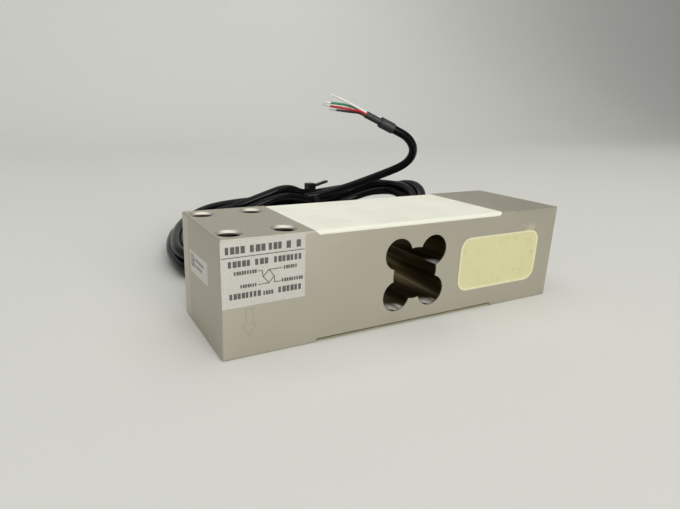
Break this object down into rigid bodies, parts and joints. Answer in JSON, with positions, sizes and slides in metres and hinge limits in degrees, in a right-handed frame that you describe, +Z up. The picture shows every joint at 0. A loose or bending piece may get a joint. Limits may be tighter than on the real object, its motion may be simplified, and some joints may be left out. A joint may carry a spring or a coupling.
{
  "type": "single point load cell",
  "caption": "Rectangular single point load cell with a clover cut-out, sealed gauge recesses, a potted side pocket and a coiled cable with bare ends.",
  "frame": {"origin": "middle of the block's underside, on the surface that it stands on", "axes": "+X along the block from the loaded end to the fixed end, +Y from the labelled front to the back where the cable leaves, +Z up"},
  "size_m": [0.1889, 0.1733, 0.0853],
  "materials": {
    "block": "fine-milled, matt nickel tone",
    "sealant": "smooth white silicone",
    "potting": "pale yellow cast resin",
    "gauge": "polyimide foil",
    "gauge_wire": "enamelled copper",
    "board": "glass-epoxy laminate",
    "resistor": "dark ceramic",
    "core": "insulated wire",
    "label": "matt silver-grey film with plain printed rules",
    "sticker": "white paper sticker",
    "seal": "black rubber",
    "jacket": "glossy black jacket",
    "tie": "black nylon",
    "shrink": "black heat-shrink",
    "core_white": "white insulation",
    "core_green": "green insulation",
    "core_red": "red insulation",
    "core_black": "black insulation",
    "tinned": "tinned copper"
  },
  "bodies": {
    "root": {"spring_element": "block", "upper_sealant": "sealant", "lower_sealant": "sealant", "pocket_potting": "potting", "strain_gauge_upper_loaded": "gauge", "strain_gauge_upper_fixed": "gauge", "strain_gauge_lower_loaded": "gauge", "strain_gauge_lower_fixed": "gauge", "upper_gauge_leads": "gauge_wire", "lower_gauge_leads": "gauge_wire", "terminal_board": "board", "trim_resistors": "resistor", "core_ends": "core", "name_label": "label", "end_label": "sticker", "cable_seal": "seal", "cable_lead": "jacket", "cable_coil": "jacket", "cable_tail": "jacket", "cable_tie": "tie", "outer_heat_shrink": "shrink", "inner_heat_shrink": "shrink", "white_conductor": "core_white", "green_conductor": "core_green", "red_conductor": "core_red", "black_conductor": "core_black", "drain_wire": "tinned", "tinned_ends": "tinned"}
  },
  "joints": []
}
